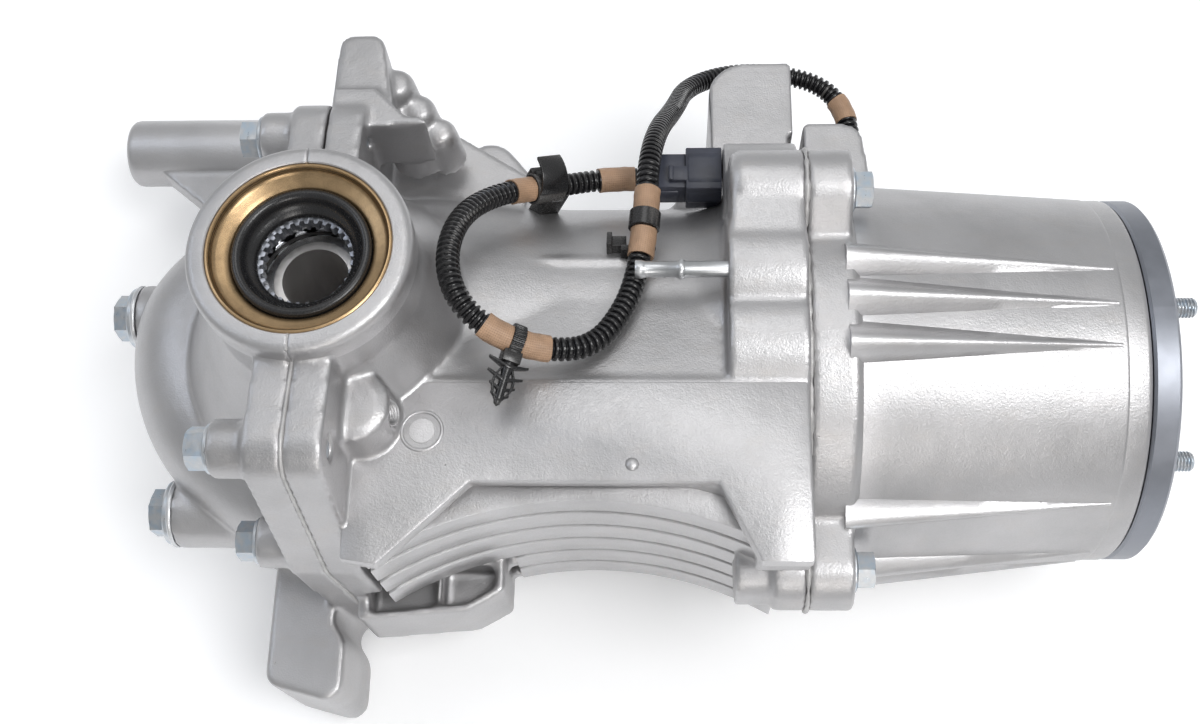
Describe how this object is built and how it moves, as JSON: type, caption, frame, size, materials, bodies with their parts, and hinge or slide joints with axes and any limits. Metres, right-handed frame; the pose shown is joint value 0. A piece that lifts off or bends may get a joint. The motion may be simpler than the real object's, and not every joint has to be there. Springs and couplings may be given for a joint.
{
  "type": "rear differential",
  "caption": "Rear axle final drive with bevel ring gear and pinion, bevel differential and multi-plate input coupling in a ribbed cast housing with a wiring lead.",
  "frame": {"origin": "centre of the input flange face", "axes": "+X forward along the input shaft towards the propeller shaft, +Z along the axle out of the upper port, +Y across towards the front mount pad"},
  "size_m": [0.46, 0.2802, 0.216],
  "materials": {
    "cast_aluminium": "as cast, blasted",
    "zinc_steel": "bright zinc",
    "machined_steel": "machined",
    "bearing_steel": "ground",
    "dark_steel": "dark phosphate",
    "seal_case": "yellow passivated",
    "rubber": "matte",
    "gasket": "sealant",
    "friction": "friction lining",
    "conduit": "corrugated",
    "clip": "moulded",
    "connector": "moulded"
  },
  "bodies": {
    "housing": {"main_housing": "cast_aluminium", "rear_cover": "cast_aluminium", "coupling_case": "cast_aluminium", "cover_gasket": "gasket", "case_gasket": "gasket", "cover_bolts": "zinc_steel", "case_bolts": "zinc_steel", "cover_dowels": "machined_steel", "oil_plugs": "zinc_steel", "plug_washers": "zinc_steel", "breather_pipe": "zinc_steel", "axle_seal_cases": "seal_case", "axle_seal_lips": "rubber", "carrier_bearing_cups": "bearing_steel", "pinion_bearing_cups": "bearing_steel", "input_seal_case": "seal_case", "input_seal_lip": "rubber", "input_bearing_outer_race": "bearing_steel", "actuator_motor": "machined_steel", "connector_plug": "connector", "harness_conduit": "conduit", "saddle_clip": "clip", "round_base_clip": "clip", "fir_tree_clip": "clip", "harness_gland": "rubber"},
    "differential": {"diff_case": "machined_steel", "ring_gear": "machined_steel", "ring_gear_bolts": "dark_steel", "cross_pin": "machined_steel", "cross_pin_lock": "machined_steel", "carrier_bearing_cones": "bearing_steel", "carrier_bearing_rollers": "bearing_steel", "carrier_bearing_cages": "bearing_steel", "side_gear_washers": "machined_steel", "spider_gear_washers": "machined_steel"},
    "upper_side": {"upper_side_gear": "machined_steel"},
    "lower_side": {"lower_side_gear": "machined_steel"},
    "front_spider": {"spider_gear_front": "machined_steel"},
    "rear_spider": {"spider_gear_rear": "machined_steel"},
    "pinion": {"pinion_shaft": "machined_steel", "pinion_bearing_cones": "bearing_steel", "pinion_bearing_rollers": "bearing_steel", "pinion_bearing_cages": "bearing_steel", "pinion_spacer": "machined_steel", "pinion_nut": "machined_steel", "clutch_hub": "machined_steel", "inner_clutch_plates": "friction"},
    "input": {"companion_flange": "machined_steel", "end_ring": "dark_steel", "flange_studs": "zinc_steel", "shaft_nut": "machined_steel", "input_bearing_inner_race": "bearing_steel", "input_bearing_balls": "bearing_steel", "clutch_drum": "machined_steel", "outer_clutch_plates": "friction", "pressure_plate": "machined_steel", "thrust_bearing": "bearing_steel"},
    "piston": {"clutch_piston": "cast_aluminium", "piston_seals": "rubber"}
  },
  "joints": [
    {"name": "differential_spin", "type": "hinge", "parent": "housing", "child": "differential", "pos_m": [-0.308, 0, 0], "axis": [0, 0, 1], "continuous": true},
    {"name": "pinion_spin", "type": "hinge", "parent": "housing", "child": "pinion", "pos_m": [-0.2, 0, 0], "axis": [1, 0, 0], "continuous": true},
    {"name": "upper_side_spin", "type": "hinge", "parent": "differential", "child": "upper_side", "pos_m": [-0.308, 0, 0], "axis": [0, 0, 1], "continuous": true},
    {"name": "lower_side_spin", "type": "hinge", "parent": "differential", "child": "lower_side", "pos_m": [-0.308, 0, 0], "axis": [0, 0, 1], "continuous": true},
    {"name": "front_spider_spin", "type": "hinge", "parent": "differential", "child": "front_spider", "pos_m": [-0.308, 0, 0], "axis": [1, 0, 0], "continuous": true},
    {"name": "rear_spider_spin", "type": "hinge", "parent": "differential", "child": "rear_spider", "pos_m": [-0.308, 0, 0], "axis": [1, 0, 0], "continuous": true},
    {"name": "input_spin", "type": "hinge", "parent": "housing", "child": "input", "pos_m": [0, 0, 0], "axis": [1, 0, 0], "continuous": true},
    {"name": "piston_slide", "type": "slide", "parent": "housing", "child": "piston", "axis": [1, 0, 0], "range_m": [0, 0.002]}
  ],
  "couplings": [
    {"joint": "pinion_spin", "follows": "differential_spin", "ratio": 2.5333},
    {"joint": "lower_side_spin", "follows": "upper_side_spin", "ratio": -1},
    {"joint": "front_spider_spin", "follows": "upper_side_spin", "ratio": -1.6},
    {"joint": "rear_spider_spin", "follows": "upper_side_spin", "ratio": 1.6}
  ]
}
